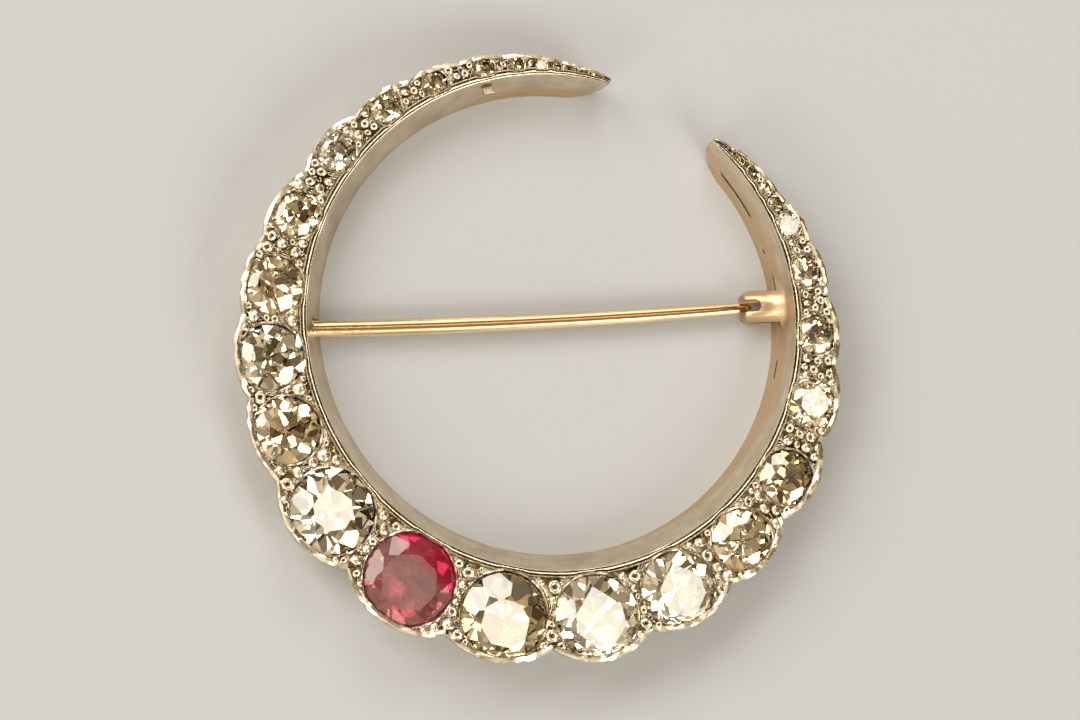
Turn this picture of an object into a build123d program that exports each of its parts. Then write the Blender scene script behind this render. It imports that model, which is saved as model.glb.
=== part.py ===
from build123d import *
import os
from math import atan2, copysign, cos, pi, radians, sin, sqrt

# Crescent brooch: one soldered setting, a red stone, old-cut diamonds and a hinged pin.
# Millimetres. +Z is the front, with the stones; the brooch lies on its back at Z = 0.
# The red stone is towards -Y and the crescent's gap opens towards +Y.
# Angles run from the red stone, positive towards +X, about the centre of the outer edge.

# Setting
OUTER_RADIUS = 16.55          # reach of the scalloped outer edge
BAND_AT_RED_STONE = 5.28      # width of the crescent's front, at its widest
BAND_AT_GAP = 1.02            # what it would narrow to in the middle of the gap
INNER_LEAN = 1.23             # the inner wall's back edge is this much nearer the centre
INNER_LEAN_AT_GAP = 0.61      # and by this much in the middle of the gap
INNER_SHIFT = 0.265           # the inner wall lies this far towards the left arm at the front
INNER_SHIFT_AT_BACK = 0.125   # and this far at the back
WALL_DEPTH = 2.6              # from the back to the flat front
COLLAR_DEPTH = 0.6            # nearly upright part of the outer wall, around the stones
COLLAR_DRAFT = 0.02           # how far it draws in over that depth
OUTER_LEAN = 1.0              # how far the outer wall draws in towards the back, at the widest
RIM_WIDTH = 0.2               # bead along the inner edge of the front
RIM_HEIGHT = 0.1
LIP_WIDTH = 0.12              # metal outside each stone
TIP_WIDTH = 0.28              # blunt end of each arm
TIP_ANGLE = 168.0             # from the red stone to the end of each arm
NARROWING_SHARE = 0.83        # of the arm, after which the outer edge comes in to the tip
TIP_ROUNDING = 1.3            # of each arm's end, at the back
SHOULDER_SHARE = 0.96         # of the arm, after which the inner wall's back edge does
ROUNDING_SHARE = 0.35         # how full the back edge's rounding is

# Stones, as shares of a stone's diameter
GIRDLE_SHARE = 0.03           # height of the girdle
SEAT_SHARE = 0.08             # depth of the bearing under the girdle
HOLE_SHARE = 0.82             # width of the opening at the back
DIAMOND_SHARES = {"table": 0.52, "crown": 0.17, "pavilion": 0.42, "culet": 0.10}
RED_STONE_SHARES = {"table": 0.62, "crown": 0.13, "pavilion": 0.42, "culet": 0.06}
STAR_SLOPE_SHARE = 0.6        # slope of the facets around the table, of the main ones'
HALF_FACET_ANGLE = 5.0        # degrees by which the facets along the girdle are steeper

# Seats
GIRDLE_DROP = 0.12            # the stones' widest line lies this far under the front
SEAT_CLEARANCE = 0.02         # between a stone and its seat, all round
STONE_GAP = 0.1               # least metal between two stones

# Pin, hinge and catch
STEM_ANGLE = 30.98            # from +X
STEM_DIAMETER = 0.95
STEM_BOW = 0.2                # the stem is bent sideways by this much at its middle
HINGE_SETBACK = 1.05          # the rivet lies this far behind the inner wall's back edge
REST_CLEARANCE = 0.04         # under the knuckle, when the brooch lies on its back
KNUCKLE_WALL = 0.42           # metal around the rivet
KNUCKLE_GAP = 0.05            # each side of the knuckle
EAR_THICKNESS = 0.42
RIVET_DIAMETER = 0.4
RUNNING_CLEARANCE = 0.02      # knuckle on rivet
RIVET_CLEARANCE = 0.01        # rivet in the ears
SWING_CLEARANCE = 0.12        # around the knuckle and the stem in the setting
CATCH_CLEARANCE = 0.145       # around the full thickness of the stem in the catch
CATCH_WALL = 0.28
CATCH_LENGTH = 1.75           # how far it stands out from the wall
MOUTH_CLEARANCE = 0.05        # each side of the stem in the slot that it drops through
CATCH_END = 0.25              # closed part against the wall
CATCH_ROOT = 0.6              # how far it runs into the wall
WINDOW_LENGTH = 0.85          # cut-away in front of the stem's point
WINDOW_HALF = 0.33            # and half its width
CATCH_ROUNDING = 0.4          # corners of its open end, seen from the front
POINT_REACH = 0.55            # how far the stem's point goes into the catch
BEYOND = 1.0                  # how far cutting tools run past a face

# name, place along its arm from the middle of the crescent to the tip, share of the band's
# clear width that it fills, and the depth of the notch between it and the next stone as a
# share of the smaller of the two
STONE_TABLE = [
    ("left_chip_03", -0.9750, 1.10, 0.10),
    ("left_chip_02", -0.9572, 0.84, 0.10),
    ("left_chip_01", -0.9357, 0.90, 0.10),
    ("left_diamond_11", -0.9166, 1.05, 0.08),
    ("left_diamond_10", -0.8881, 1.08, 0.10),
    ("left_diamond_09", -0.8500, 1.12, 0.13),
    ("left_diamond_08", -0.7881, 1.10, 0.14),
    ("left_diamond_07", -0.7215, 1.10, 0.22),
    ("left_diamond_06", -0.6417, 1.02, 0.26),
    ("left_diamond_05", -0.5506, 0.97, 0.12),
    ("left_diamond_04", -0.4595, 1.00, 0.10),
    ("left_diamond_03", -0.3702, 0.97, 0.12),
    ("left_diamond_02", -0.2756, 0.88, 0.17),
    ("left_diamond_01", -0.1577, 1.01, 0.22),
    ("red_stone", -0.0244, 1.03, 0.16),
    ("right_diamond_01", 0.1089, 0.97, 0.20),
    ("right_diamond_02", 0.2328, 0.97, 0.20),
    ("right_diamond_03", 0.3464, 0.95, 0.18),
    ("right_diamond_04", 0.4518, 0.91, 0.24),
    ("right_diamond_05", 0.5500, 0.97, 0.20),
    ("right_diamond_06", 0.6482, 1.03, 0.17),
    ("right_diamond_07", 0.7315, 1.09, 0.17),
    ("right_diamond_08", 0.8078, 1.11, 0.14),
    ("right_diamond_09", 0.8660, 1.13, 0.10),
    ("right_diamond_10", 0.8964, 0.76, 0.08),
    ("right_diamond_11", 0.9166, 0.87, 0.08),
    ("right_diamond_12", 0.9405, 1.25, 0.10),
    ("right_chip_01", 0.9601, 0.92, 0.10),
    ("right_chip_02", 0.9708, 0.95, 0.10),
    ("right_chip_03", 0.9839, 1.25, 0.10),
]

# Stem: share of its length from the rivet, and share of its diameter there
STEM_TABLE = [
    (0.00, 1.00),
    (0.15, 0.99),
    (0.30, 0.98),
    (0.45, 0.95),
    (0.60, 0.91),
    (0.75, 0.87),
    (0.86, 0.82),
    (0.92, 0.75),
    (0.96, 0.67),
    (0.985, 0.50),
    (0.997, 0.30),
    (1.00, 0.16),
]


def polar(angle, radius, height=0.0):
    """A point by its angle from the red stone and its distance from the centre."""
    return Vector(radius * sin(radians(angle)), -radius * cos(radians(angle)), height)


def circle_reach(angle, radius, centre):
    """Distance from the brooch's centre to a circle about another centre."""
    along = centre.dot(polar(angle, 1.0))
    return along + sqrt(radius ** 2 - centre.length ** 2 + along ** 2)


def inner_circle(height):
    """Centre and radius of the leaning inner wall at a height."""
    behind = 1 - height / WALL_DEPTH
    near = OUTER_RADIUS - BAND_AT_RED_STONE - INNER_LEAN * behind
    far = OUTER_RADIUS - BAND_AT_GAP - INNER_LEAN_AT_GAP * behind
    shift = INNER_SHIFT + (INNER_SHIFT_AT_BACK - INNER_SHIFT) * behind
    return Vector(-shift, (far - near) / 2), (far + near) / 2


def inner_reach(angle, height):
    centre, radius = inner_circle(height)
    return circle_reach(angle, radius, centre)


def outer_limit(angle):
    """Reach of the outer edge, which comes in towards the tips."""
    start = NARROWING_SHARE * TIP_ANGLE
    past = max(0.0, abs(angle) - start) / (TIP_ANGLE - start)
    tip_band = OUTER_RADIUS - inner_reach(copysign(TIP_ANGLE, angle), WALL_DEPTH)
    return OUTER_RADIUS - (tip_band - TIP_WIDTH) * past ** 2


def band_width(angle):
    return outer_limit(angle) - inner_reach(angle, WALL_DEPTH)


def stone_facts(row):
    """Size and place of one stone, worked out from the band it sits in."""
    name, place, fill, notch = row
    angle = place * TIP_ANGLE
    clear = band_width(angle) - RIM_WIDTH - LIP_WIDTH
    middle = inner_reach(angle, WALL_DEPTH) + RIM_WIDTH + clear / 2
    return {"name": name, "angle": angle, "diameter": fill * clear, "middle": middle, "notch": notch}


def spaced(stones):
    """The row of stones, each small enough to leave metal between it and the next."""
    shares = [1.0] * len(stones)
    for number, (stone, following) in enumerate(zip(stones, stones[1:])):
        apart = polar(stone["angle"], stone["middle"]) - polar(following["angle"], following["middle"])
        share = 2 * (apart.length - STONE_GAP) / (stone["diameter"] + following["diameter"])
        shares[number] = min(shares[number], share)
        shares[number + 1] = min(shares[number + 1], share)
    return [dict(stone, diameter=stone["diameter"] * share) for stone, share in zip(stones, shares)]


STONES = spaced([stone_facts(row) for row in STONE_TABLE])


def notch_angle(stone, following):
    """Angle of the line between two neighbours, shared out by their sizes."""
    size, next_size = stone["diameter"], following["diameter"]
    return stone["angle"] + (following["angle"] - stone["angle"]) * size / (size + next_size)


def outer_points(drawn_in):
    """The outer edge from the left tip to the right: notches and the tops between them.

    drawn_in is how far the edge has moved inwards where the band is widest.
    """
    widest = band_width(0.0)

    def place(angle, reach):
        return polar(angle, reach - drawn_in * band_width(angle) / widest)

    points = [polar(-TIP_ANGLE, outer_limit(-TIP_ANGLE))]
    for stone, following in zip(STONES, STONES[1:] + [None]):
        top = stone["middle"] + stone["diameter"] / 2 + LIP_WIDTH
        points.append(place(stone["angle"], top))
        if following:
            next_top = following["middle"] + following["diameter"] / 2 + LIP_WIDTH
            notch = stone["notch"] * min(stone["diameter"], following["diameter"])
            points.append(place(notch_angle(stone, following), (top + next_top) / 2 - notch))
    points.append(polar(TIP_ANGLE, outer_limit(TIP_ANGLE)))
    return points


def outline(height, drawn_in):
    """The crescent's closed outline at a height: scallops outside, a circle inside."""
    outer = outer_points(drawn_in)
    edges = []
    for start in range(0, len(outer) - 1, 2):
        edges.append(Edge.make_three_point_arc(*outer[start:start + 3]))
    tips, rounding, shoulders = {}, {}, {}
    shoulder = SHOULDER_SHARE * TIP_ANGLE
    halfway = (TIP_ANGLE + shoulder) / 2
    for side in (1, -1):
        tips[side] = polar(side * TIP_ANGLE, inner_reach(side * TIP_ANGLE, WALL_DEPTH))
        near = inner_reach(side * halfway, height)
        far = inner_reach(side * halfway, WALL_DEPTH)
        rounding[side] = polar(side * halfway, near + (far - near) * ROUNDING_SHARE)
        shoulders[side] = polar(side * shoulder, inner_reach(side * shoulder, height))
    nearest = polar(0.0, inner_reach(0.0, height))
    edges.append(Edge.make_line(outer[-1], tips[1]))
    edges.append(Edge.make_three_point_arc(tips[1], rounding[1], shoulders[1]))
    edges.append(Edge.make_three_point_arc(shoulders[1], nearest, shoulders[-1]))
    edges.append(Edge.make_three_point_arc(shoulders[-1], rounding[-1], tips[-1]))
    edges.append(Edge.make_line(tips[-1], outer[0]))
    return Wire(edges).moved(Location((0, 0, height)))


def disc_loft(low_centre, low_radius, high_centre, high_radius):
    """A round opening that leans: straight-sided between two level circles."""
    low = Wire.make_circle(low_radius, Plane(low_centre))
    high = Wire.make_circle(high_radius, Plane(high_centre))
    return Solid.make_loft([low, high], True)


def girdle_height(stone):
    """Height of a stone's middle line, with its girdle's top under the flat front."""
    return WALL_DEPTH - GIRDLE_DROP - GIRDLE_SHARE * stone["diameter"] / 2


def stone_opening(stone, cut):
    """Seat for one stone, and under it the leaning hole that opens at the back."""
    radius = stone["diameter"] / 2
    middle = polar(stone["angle"], stone["middle"])
    seat = girdle_height(stone) - SEAT_SHARE * stone["diameter"]
    depth = (cut["pavilion"] - GIRDLE_SHARE / 2) * stone["diameter"]
    slope = radius * (1 - cut["culet"]) / depth
    fallen = girdle_height(stone) - GIRDLE_SHARE * stone["diameter"] / 2 - seat
    bearing = radius - slope * fallen + SEAT_CLEARANCE
    back_radius = HOLE_SHARE * radius
    back_inner = inner_reach(stone["angle"], 0.0)
    drawn = OUTER_LEAN * band_width(stone["angle"]) / band_width(0.0)
    back_outer = stone["middle"] + radius + LIP_WIDTH - drawn
    back_middle = polar(stone["angle"], (back_outer + back_inner) / 2)
    lean = (middle - back_middle) / seat
    growth = (bearing - back_radius) / seat
    low = back_middle - lean * BEYOND + Vector(0, 0, -BEYOND)
    hole = disc_loft(low, back_radius - growth * BEYOND, middle + Vector(0, 0, seat), bearing)
    height = WALL_DEPTH + BEYOND - seat
    well = Solid.make_cylinder(radius + SEAT_CLEARANCE, height, Plane(middle + Vector(0, 0, seat)))
    return [hole, well]


def rim_bead():
    """Raised line along the inner edge of the front, its lower half sunk in the metal."""
    centre, radius = inner_circle(WALL_DEPTH)
    corners = {}
    arcs = []
    for edge in (radius, radius + RIM_WIDTH):
        left, middle, right = [polar(a, circle_reach(a, edge, centre)) for a in (-TIP_ANGLE, 0.0, TIP_ANGLE)]
        arcs.append(Edge.make_three_point_arc(left, middle, right))
        corners[edge] = (left, right)
    ends = [Edge.make_line(*pair) for pair in zip(*corners.values())]
    level = Location((0, 0, WALL_DEPTH - RIM_HEIGHT))
    return extrude(Face(Wire(arcs + ends)).moved(level), 2 * RIM_HEIGHT, dir=(0, 0, 1))


KNUCKLE_RADIUS = RIVET_DIAMETER / 2 + KNUCKLE_WALL
PIVOT_HEIGHT = KNUCKLE_RADIUS + REST_CLEARANCE


def stem_frame():
    """The rivet's plane: X along the stem towards its point, Z up, and Y across."""
    row = {stone["name"]: stone for stone in STONES}
    angle = notch_angle(row["left_diamond_04"], row["left_diamond_03"])
    reach = inner_reach(angle, 0.0) + HINGE_SETBACK
    along = Vector(cos(radians(STEM_ANGLE)), sin(radians(STEM_ANGLE)), 0)
    return Plane(polar(angle, reach, PIVOT_HEIGHT), x_dir=along, z_dir=(0, 0, 1))


STEM_FRAME = stem_frame()


def wall_distance():
    """How far the stem's line runs from the rivet to the inner wall's back edge."""
    centre, radius = inner_circle(0.0)
    start = Vector(STEM_FRAME.origin.X, STEM_FRAME.origin.Y, 0) - centre
    along = start.dot(STEM_FRAME.x_dir)
    return -along + sqrt(along ** 2 - start.length ** 2 + radius ** 2)


CATCH_START = wall_distance() - CATCH_LENGTH
STEM_LENGTH = CATCH_START + POINT_REACH


def stem_thickness(distance):
    """Thickness of the stem at a distance from the rivet, from the table of its sections."""
    place = distance / STEM_LENGTH
    for (before, thick), (after, thin) in zip(STEM_TABLE, STEM_TABLE[1:]):
        if before <= place <= after:
            return STEM_DIAMETER * (thick + (thin - thick) * (place - before) / (after - before))


def block(along, across, up):
    """A box in the stem's frame, from pairs of limits."""
    size = [high - low for low, high in (along, across, up)]
    corner = STEM_FRAME.from_local_coords(Vector(along[0], across[0], up[0]))
    return Solid.make_box(*size, Plane(corner, x_dir=STEM_FRAME.x_dir, z_dir=STEM_FRAME.z_dir))


def rod(radius, near, far):
    """A round bar along the stem's line, at the rivet's height."""
    start = STEM_FRAME.from_local_coords(Vector(near, 0, 0))
    return Solid.make_cylinder(radius, far - near, Plane(start, z_dir=STEM_FRAME.x_dir))


def cross_rod(radius, length):
    """A round bar on the rivet's axis."""
    start = STEM_FRAME.from_local_coords(Vector(0, -length / 2, 0))
    return Solid.make_cylinder(radius, length, Plane(start, z_dir=STEM_FRAME.y_dir))


KNUCKLE_WIDTH = STEM_DIAMETER
POCKET_WIDTH = KNUCKLE_WIDTH + 2 * KNUCKLE_GAP
EARS_WIDTH = POCKET_WIDTH + 2 * EAR_THICKNESS
POCKET_REACH = KNUCKLE_RADIUS + SWING_CLEARANCE


def hinge_ears():
    """Solid metal between two stones' openings, which carries the rivet."""
    length = POCKET_REACH + EAR_THICKNESS
    top = POCKET_REACH + EAR_THICKNESS
    return block((-length, HINGE_SETBACK + BEYOND), (-EARS_WIDTH / 2, EARS_WIDTH / 2), (-PIVOT_HEIGHT, top))


def hinge_pocket():
    """Slot for the knuckle and the stem, open at the back and towards the gap."""
    half = POCKET_WIDTH / 2
    floor = -PIVOT_HEIGHT - BEYOND
    turning = block((-POCKET_REACH, POCKET_REACH), (-half, half), (floor, POCKET_REACH))
    stem_top = STEM_DIAMETER / 2 + SWING_CLEARANCE
    leaving = block((0, HINGE_SETBACK + 2 * BEYOND), (-half, half), (floor, stem_top))
    return [turning, leaving, cross_rod(RIVET_DIAMETER / 2 + RIVET_CLEARANCE, EARS_WIDTH + BEYOND)]


def catch():
    """Hooked tube on the right arm's wall, open at the back for the stem."""
    wall = wall_distance()
    bore = STEM_DIAMETER / 2 + CATCH_CLEARANCE
    outer = bore + CATCH_WALL
    mouth_half = stem_thickness(CATCH_START) / 2 + MOUTH_CLEARANCE
    before = CATCH_START - BEYOND
    closed = wall - CATCH_END
    hook = rod(outer, CATCH_START, wall + CATCH_ROOT)
    hook -= rod(bore, before, closed)
    hook -= block((before, closed), (-mouth_half, mouth_half), (-outer - BEYOND, 0))
    straight = CATCH_START + WINDOW_LENGTH - WINDOW_HALF
    hook -= block((before, straight), (-WINDOW_HALF, WINDOW_HALF), (0, outer + BEYOND))
    window_end = STEM_FRAME.from_local_coords(Vector(straight, 0, 0))
    hook -= Solid.make_cylinder(WINDOW_HALF, outer + BEYOND, Plane(window_end))
    hook -= block((before, wall + 2 * BEYOND), (-2 * outer, 2 * outer), (-2 * outer, -PIVOT_HEIGHT))
    length = wall + 2 * BEYOND - CATCH_START
    middle = STEM_FRAME.from_local_coords(Vector(CATCH_START + length / 2, 0, -PIVOT_HEIGHT))
    seen = Plane(middle, x_dir=STEM_FRAME.x_dir) * RectangleRounded(length, 2 * outer, CATCH_ROUNDING)
    return hook & extrude(seen, 2 * PIVOT_HEIGHT + BEYOND)


def tip_rounding(side):
    """What is taken off an arm's end at the back, to leave a rounded corner."""
    angle = side * TIP_ANGLE
    out = polar(angle, 1.0)
    onwards = Vector(-out.Y, out.X, 0) * side
    reach = inner_reach(angle, 0.0) - BEYOND
    corner = polar(angle, reach) - onwards * TIP_ROUNDING
    width = OUTER_RADIUS + BEYOND - reach
    middle = corner + out * (width / 2) + onwards * TIP_ROUNDING
    below = Plane(middle - Vector(0, 0, BEYOND), x_dir=onwards)
    rough = extrude(below * Rectangle(2 * TIP_ROUNDING, width), BEYOND + TIP_ROUNDING)
    axis = Plane(corner + Vector(0, 0, TIP_ROUNDING), z_dir=out)
    return rough - Solid.make_cylinder(TIP_ROUNDING, width, axis)


def crescent_frame():
    """The soldered setting: leaning walls, stone openings, hinge ears and catch."""
    collar_foot = WALL_DEPTH - COLLAR_DEPTH
    sections = [outline(0.0, OUTER_LEAN), outline(collar_foot, COLLAR_DRAFT), outline(WALL_DEPTH, 0.0)]
    body = Solid.make_loft(sections, True)
    ears = hinge_ears() & body
    openings = []
    for stone in STONES:
        openings += stone_opening(stone, cut_of(stone))
    metal = (body + rim_bead()) - openings
    metal = metal + ears - hinge_pocket() - [tip_rounding(1), tip_rounding(-1)]
    return metal + catch()


def cut_of(stone):
    return RED_STONE_SHARES if stone["name"] == "red_stone" else DIAMOND_SHARES


def grind(rough, slope, turn, reach, height, side):
    """One facet: everything beyond a sloping plane through a point is ground away."""
    flat = Vector(sin(slope) * cos(turn), sin(slope) * sin(turn), side * cos(slope))
    point = Vector(reach * cos(turn), reach * sin(turn), height)
    return split(rough, bisect_by=Plane(point, z_dir=flat), keep=Keep.BOTTOM)


def cut_stone(cut):
    """A round old cut of unit diameter: table, stars, mains, halves and a culet."""
    radius = 0.5
    eighth, corner = pi / 4, pi / 8
    girdle = GIRDLE_SHARE / 2
    side_reach = radius * cos(corner / 2)
    table, culet = cut["table"] / 2, cut["culet"] / 2
    rough = extrude(RegularPolygon(radius, 16), cut["crown"], both=False)
    below = extrude(RegularPolygon(radius, 16), -cut["pavilion"], both=False)
    rough = rough + below
    crown = atan2(cut["crown"] - girdle, radius - table)
    pavilion = atan2(cut["pavilion"] - girdle, radius - culet)
    steeper = radians(HALF_FACET_ANGLE)
    for number in range(8):
        turn = number * eighth
        rough = grind(rough, crown, turn, radius, girdle, 1)
        rough = grind(rough, pavilion, turn, radius, -girdle, -1)
        rough = grind(rough, crown * STAR_SLOPE_SHARE, turn + corner, table * cos(corner), cut["crown"], 1)
        for half in (turn + corner / 2, turn - corner / 2):
            rough = grind(rough, crown + steeper, half, side_reach, girdle, 1)
            rough = grind(rough, pavilion + steeper / 2, half, side_reach, -girdle, -1)
    return rough


def pin_stem():
    """Bent, tapering stem with its knuckle, on the line from the rivet to the catch."""
    places = ((0, 0), (STEM_LENGTH / 2, -STEM_BOW), (STEM_LENGTH, 0))
    line = Edge.make_three_point_arc(*[STEM_FRAME.from_local_coords(Vector(x, y, 0)) for x, y in places])
    sections = []
    for share, thickness in STEM_TABLE:
        plane = Plane(line @ share, z_dir=line % share)
        sections.append(Wire.make_circle(thickness * STEM_DIAMETER / 2, plane))
    stem = Solid.make_loft(sections, True)
    stem += cross_rod(KNUCKLE_RADIUS, KNUCKLE_WIDTH)
    return stem - cross_rod(RIVET_DIAMETER / 2 + RUNNING_CLEARANCE, KNUCKLE_WIDTH + BEYOND)


def hinge_rivet():
    return cross_rod(RIVET_DIAMETER / 2, EARS_WIDTH)


nodes = {"crescent_frame": crescent_frame(), "pin_stem": pin_stem(), "hinge_rivet": hinge_rivet()}
red, clear = cut_stone(RED_STONE_SHARES), cut_stone(DIAMOND_SHARES)
for stone in STONES:
    pattern = red if stone["name"] == "red_stone" else clear
    seat = polar(stone["angle"], stone["middle"], girdle_height(stone))
    turned = pattern.scale(stone["diameter"]).rotate(Axis.Z, stone["angle"])
    nodes[stone["name"]] = turned.moved(Location(seat))

# The origin is the middle of the brooch's outline, on the plane that it rests on.
extent = nodes["crescent_frame"].bounding_box()
settled = Location((-extent.center().X, -extent.center().Y, 0))
os.makedirs("parts", exist_ok=True)
for name, piece in nodes.items():
    export_step(piece.moved(settled), f"parts/{name}.step")

pivot = STEM_FRAME.origin + settled.position
print("rivet at", pivot, "axis", STEM_FRAME.y_dir, "stem towards", STEM_FRAME.x_dir)
print("stem length", round(STEM_LENGTH, 3), "moved by", settled.position)
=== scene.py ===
# %% [markdown]
# # A crescent brooch in silver over gold
#
# The brooch is a scalloped crescent with one row of old-cut stones, large in the middle and tiny
# at the tips. Its construction comes from the CAD frame: the setting, the stones, the rivet and
# the pin are solids there. This lesson gives them their finish, and adds the goldsmith's small
# work on the front: threads, lips, bezels, cuts and grains.

import math
import random
from bisect import bisect_left

import bmesh
import bpy
from mathutils import Matrix, Vector


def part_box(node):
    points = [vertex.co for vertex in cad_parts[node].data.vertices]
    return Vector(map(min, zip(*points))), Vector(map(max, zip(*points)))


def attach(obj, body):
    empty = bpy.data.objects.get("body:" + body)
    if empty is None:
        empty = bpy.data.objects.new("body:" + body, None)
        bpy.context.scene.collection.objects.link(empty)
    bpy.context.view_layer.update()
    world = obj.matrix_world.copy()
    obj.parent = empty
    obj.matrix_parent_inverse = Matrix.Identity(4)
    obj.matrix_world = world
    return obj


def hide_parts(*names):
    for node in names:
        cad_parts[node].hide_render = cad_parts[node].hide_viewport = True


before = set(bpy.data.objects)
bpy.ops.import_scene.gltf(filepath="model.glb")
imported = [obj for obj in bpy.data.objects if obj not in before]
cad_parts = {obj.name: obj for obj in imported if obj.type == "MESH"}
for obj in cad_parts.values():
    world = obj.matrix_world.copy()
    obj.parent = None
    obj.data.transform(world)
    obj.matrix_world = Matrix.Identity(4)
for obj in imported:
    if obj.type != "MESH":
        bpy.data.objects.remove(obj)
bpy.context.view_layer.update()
MM = 0.001

# %% [markdown]
# ## Camera
#
# The photograph looks down on the brooch from about fifteen degrees off the upright, with a long
# lens. The angles below came from matching the inner wall's two circles to the picture. A camera
# could be aimed with a constraint, but a matrix from three turns keeps the picture's own roll.

# %% Camera
CAMERA_TURNS = (-8.35, 12.69, -26.31)   # degrees about X, Y and Z
CAMERA_DISTANCE = 350.0                 # mm
CAMERA_OFFSET = (0.661, 0.188)          # mm, across and up in the picture
FIT_ORIGIN = Vector((-0.1202, 0.5928, 0.0))     # what the turns are about, mm
PICTURE_WIDTH = 1080                    # pixels
PIXELS_PER_MM = 18.606                  # at the middle of the brooch's back
SENSOR = 36.0                           # mm
CLIP_START = 0.01                       # m

about_x, about_y, about_z = [
    Matrix.Rotation(math.radians(turn), 3, axis) for turn, axis in zip(CAMERA_TURNS, "XYZ")
]
look = (about_x @ about_y @ about_z).transposed()
spot = FIT_ORIGIN + look @ Vector((*CAMERA_OFFSET, CAMERA_DISTANCE))
camera_data = bpy.data.cameras.new("camera")
camera_data.sensor_width = SENSOR
camera_data.lens = SENSOR * CAMERA_DISTANCE * PIXELS_PER_MM / PICTURE_WIDTH
camera_data.clip_start = CLIP_START
camera = bpy.data.objects.new("camera", camera_data)
bpy.context.scene.collection.objects.link(camera)
camera.matrix_world = Matrix.Translation(spot * MM) @ look.to_4x4()
bpy.context.scene.camera = camera
print("lens", round(camera_data.lens, 1), "mm, camera at", [round(x) for x in spot], "mm")

# %% [markdown]
# ## Light and floor
#
# Polished metal and cut stones show what is around them, so the light is made of a few soft
# panels in a dim room: the panels make the white flashes, and the dim gaps between them make the
# brown ones. The table panel hangs where a level table mirrors it, and a table that was ground a
# little askew misses it and stays dark. The room is brighter towards one side and dimmer straight
# overhead, so that the front doesn't look the same all over. The floor is a pale board.

# %% Floor
FLOOR_SIZE = 4.0                        # m
FLOOR_COLOUR = (0.49, 0.52, 0.58)
FLOOR_ROUGHNESS = 0.75


def plain_material(name, colour, roughness):
    """One even colour, for what isn't part of the brooch."""
    material = bpy.data.materials.new(name)
    material.use_nodes = True
    shader = material.node_tree.nodes["Principled BSDF"]
    shader.inputs["Base Color"].default_value = (*colour, 1)
    shader.inputs["Roughness"].default_value = roughness
    return material


board = bmesh.new()
bmesh.ops.create_grid(board, x_segments=1, y_segments=1, size=FLOOR_SIZE / 2)
floor_mesh = bpy.data.meshes.new("floor")
board.to_mesh(floor_mesh)
board.free()
floor_mesh.materials.append(plain_material("pale_board", FLOOR_COLOUR, FLOOR_ROUGHNESS))
floor = bpy.data.objects.new("floor", floor_mesh)
bpy.context.scene.collection.objects.link(floor)
print("floor of", FLOOR_SIZE, "m")

# %% Light
# name, degrees round from +X, degrees up, distance in m, width in m, watts, colour
PANELS = [
    ("table_panel", 60.0, 75.0, 0.60, 0.11, 0.19, (1.0, 0.90, 0.74)),
    ("left_panel", 172.0, 40.0, 0.70, 0.42, 2.3, (1.0, 0.95, 0.86)),
    ("right_panel", -25.0, 35.0, 0.70, 0.34, 2.0, (1.0, 0.94, 0.84)),
    ("near_panel", -110.0, 30.0, 0.70, 0.24, 0.9, (1.0, 0.94, 0.84)),
    ("far_panel", 117.0, 40.0, 0.75, 0.34, 1.6, (1.0, 0.94, 0.84)),
    ("warm_lamp", 215.0, 55.0, 0.70, 0.07, 0.08, (1.0, 0.72, 0.25)),
]
ROOM_DARK = (0.145, 0.098, 0.045, 1)
ROOM_PALE = (1.0, 0.86, 0.64, 1)
ROOM_TONES = (0.37, 0.60)               # strengths of the pattern that are fully dark and pale
ROOM_PATCHES = (2.6, 1.5)               # scale and detail of the pattern
ROOM_LEAN = (-0.10, -0.09, -0.02)       # the room is brighter this way
CEILING = (0.86, 0.97, 0.60)            # how upright a direction is where it darkens, and how far


def hang_panel(name, around, up, distance, width, watts, colour):
    """A square soft light that faces the brooch."""
    data = bpy.data.lights.new(name, "AREA")
    data.size = width
    data.energy = watts
    data.color = colour
    panel = bpy.data.objects.new(name, data)
    around, up = math.radians(around), math.radians(up)
    away = Vector((math.cos(up) * math.cos(around), math.cos(up) * math.sin(around), math.sin(up)))
    turned = away.to_track_quat("Z", "Y").to_matrix().to_4x4()
    panel.matrix_world = Matrix.Translation(away * distance) @ turned
    bpy.context.scene.collection.objects.link(panel)


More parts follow.
